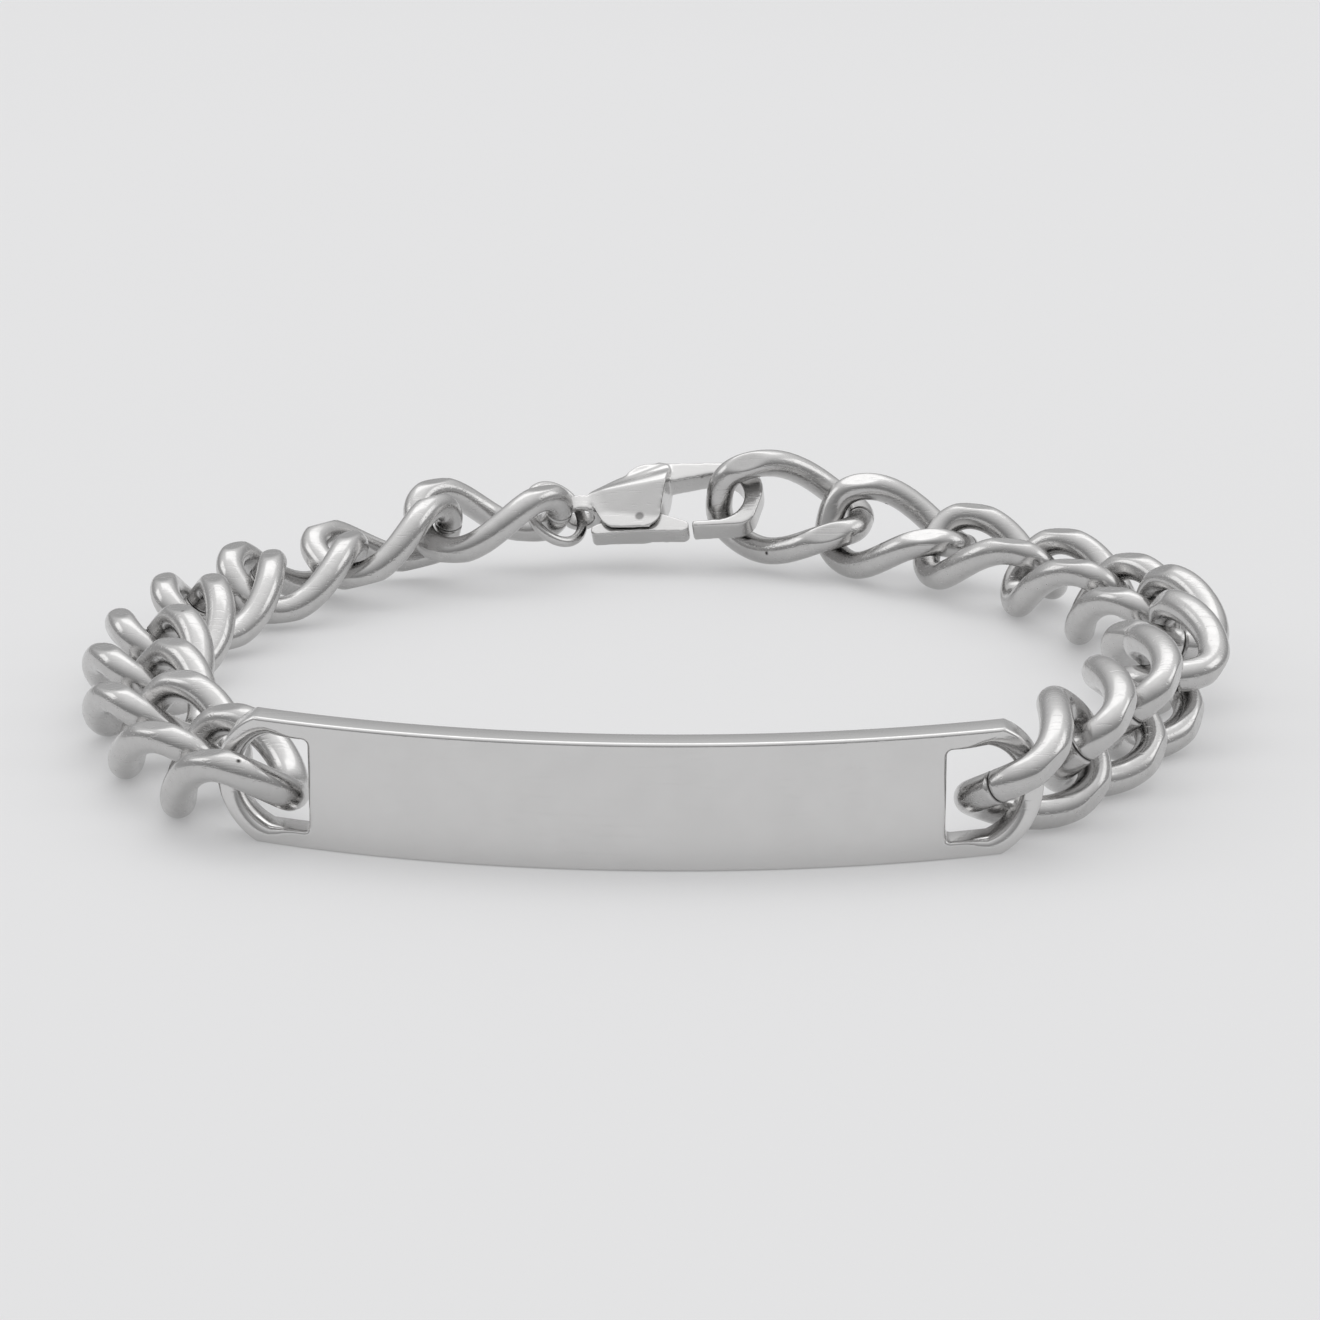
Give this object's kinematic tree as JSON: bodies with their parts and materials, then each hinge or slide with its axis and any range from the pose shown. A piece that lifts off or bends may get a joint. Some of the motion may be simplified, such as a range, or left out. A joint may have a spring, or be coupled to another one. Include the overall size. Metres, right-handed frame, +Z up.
{
  "type": "id bracelet",
  "caption": "Closed wrist bracelet: a blank bent name plate, two runs of twisted curb chain and a lobster clasp with a hinged lever.",
  "frame": {"origin": "middle of the closed loop's bounding box, on the surface that the bracelet rests on", "axes": "+X along the name plate to its right end, -Y out of the name plate's face, +Z up from the surface"},
  "size_m": [0.0663, 0.0648, 0.0078],
  "materials": {
    "polished_steel": "mirror polished, with fine wear scratches"
  },
  "bodies": {
    "bracelet": {"id_plate": "polished_steel", "link_01": "polished_steel", "link_02": "polished_steel", "link_03": "polished_steel", "link_04": "polished_steel", "link_05": "polished_steel", "link_06": "polished_steel", "link_07": "polished_steel", "link_08": "polished_steel", "link_09": "polished_steel", "link_10": "polished_steel", "link_11": "polished_steel", "link_12": "polished_steel", "link_13": "polished_steel", "link_14": "polished_steel", "link_15": "polished_steel", "link_16": "polished_steel", "link_17": "polished_steel", "link_18": "polished_steel", "link_19": "polished_steel", "jump_ring": "polished_steel", "clasp_body": "polished_steel"},
    "lever": {"clasp_lever": "polished_steel"}
  },
  "joints": [
    {"name": "lever_hinge", "type": "hinge", "parent": "bracelet", "child": "lever", "pos_m": [-0.00278, 0.02825, 0.00294], "axis": [-0.0637, -0.6198, 0.7821], "range_deg": [0, 22], "stiffness_Nm_per_rad": 0.004, "springref_deg": -20.05}
  ]
}
